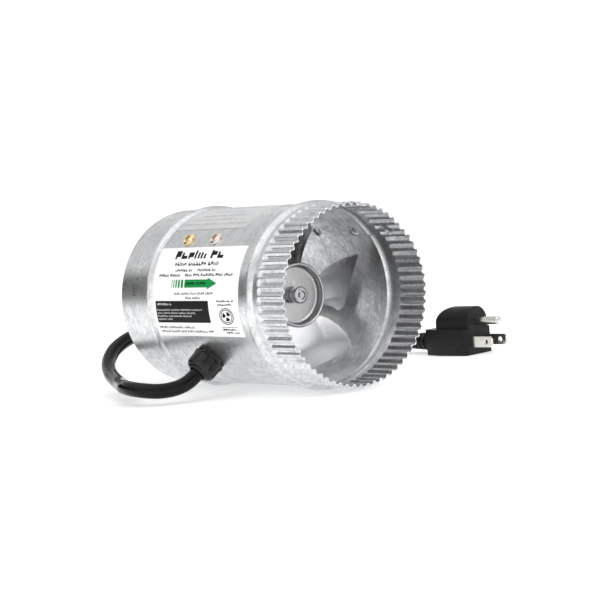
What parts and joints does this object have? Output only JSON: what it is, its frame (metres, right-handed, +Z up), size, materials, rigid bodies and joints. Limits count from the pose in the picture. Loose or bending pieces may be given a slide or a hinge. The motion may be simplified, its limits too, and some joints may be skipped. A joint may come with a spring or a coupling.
{
  "type": "inline duct fan",
  "caption": "Booster fan in a short round sheet metal duct with a plain flared inlet collar and a crimped outlet collar, a shaded pole motor on a bracket and a corded plug.",
  "frame": {"origin": "centre of the inlet rim's plane, on the duct's axis", "axes": "+X along the duct axis in the direction of airflow, towards the crimped outlet; +Z up; the main label faces -Y"},
  "size_m": [0.25, 0.2332, 0.1036],
  "materials": {
    "galvanised_steel": "galvanised sheet, softly spangled, satin",
    "zinc_screw": "yellow and clear zinc plate",
    "lamination_steel": "dark blued laminations",
    "copper": "bare copper",
    "black_nylon": "moulded nylon, satin",
    "enamelled_wire": "enamelled copper wire under clear varnish",
    "die_cast_zinc": "die cast, slightly grainy",
    "bronze": "sintered, oil filled",
    "aluminium": "cast",
    "shaft_steel": "ground and polished",
    "pressed_aluminium": "pressed sheet, satin",
    "turned_aluminium": "turned, fine rings",
    "gland_black": "moulded nylon, glossy",
    "seal_rubber": "matt",
    "black_insulation": "vinyl insulation",
    "white_insulation": "vinyl insulation",
    "green_insulation": "vinyl insulation",
    "wire_connector": "moulded nylon",
    "terminal_tin": "tin plate",
    "ground_screw_green": "green dyed zinc",
    "label_white": "printed polyester film, satin",
    "label_foil": "metallised polyester film",
    "cord_jacket": "smooth black vinyl, glossy",
    "tie_velcro": "woven hook and loop strap",
    "plug_vinyl": "moulded black vinyl",
    "plug_brass": "bright, nickel washed"
  },
  "bodies": {
    "fan_body": {"bracket_screws": "zinc_screw", "bracket_spacers": "zinc_screw", "coil_bobbin": "black_nylon", "coil_tie": "tie_velcro", "coil_winding": "enamelled_wire", "cord_coil": "cord_jacket", "cord_lead": "cord_jacket", "cord_tail": "cord_jacket", "foil_label": "label_foil", "front_bearing": "bronze", "front_bearing_bracket": "die_cast_zinc", "gland_body": "gland_black", "gland_locknut": "gland_black", "gland_nut": "gland_black", "gland_seal": "seal_rubber", "gland_washer": "gland_black", "ground_pin": "plug_brass", "ground_screw": "ground_screw_green", "ground_terminal": "terminal_tin", "ground_wire": "green_insulation", "housing": "galvanised_steel", "line_wire": "black_insulation", "motor_bolts": "zinc_screw", "motor_bracket": "galvanised_steel", "motor_nuts": "zinc_screw", "neutral_wire": "white_insulation", "plug_blades": "plug_brass", "plug_body": "plug_vinyl", "rating_label": "label_white", "rear_bearing": "bronze", "rear_bearing_bracket": "die_cast_zinc", "shading_rings": "copper", "stator_core": "lamination_steel", "wire_connectors": "wire_connector"},
    "rotor": {"rotor_core": "lamination_steel", "rotor_end_rings": "aluminium", "motor_shaft": "shaft_steel", "thrust_washers": "black_nylon", "hub_cup": "pressed_aluminium", "hub_boss": "turned_aluminium", "hub_rivets": "turned_aluminium", "blade_1": "pressed_aluminium", "blade_2": "pressed_aluminium", "blade_3": "pressed_aluminium", "blade_4": "pressed_aluminium", "blade_5": "pressed_aluminium"}
  },
  "joints": [
    {"name": "impeller_spin", "type": "hinge", "parent": "fan_body", "child": "rotor", "pos_m": [0.08, 0, 0], "axis": [1, 0, 0], "continuous": true}
  ]
}
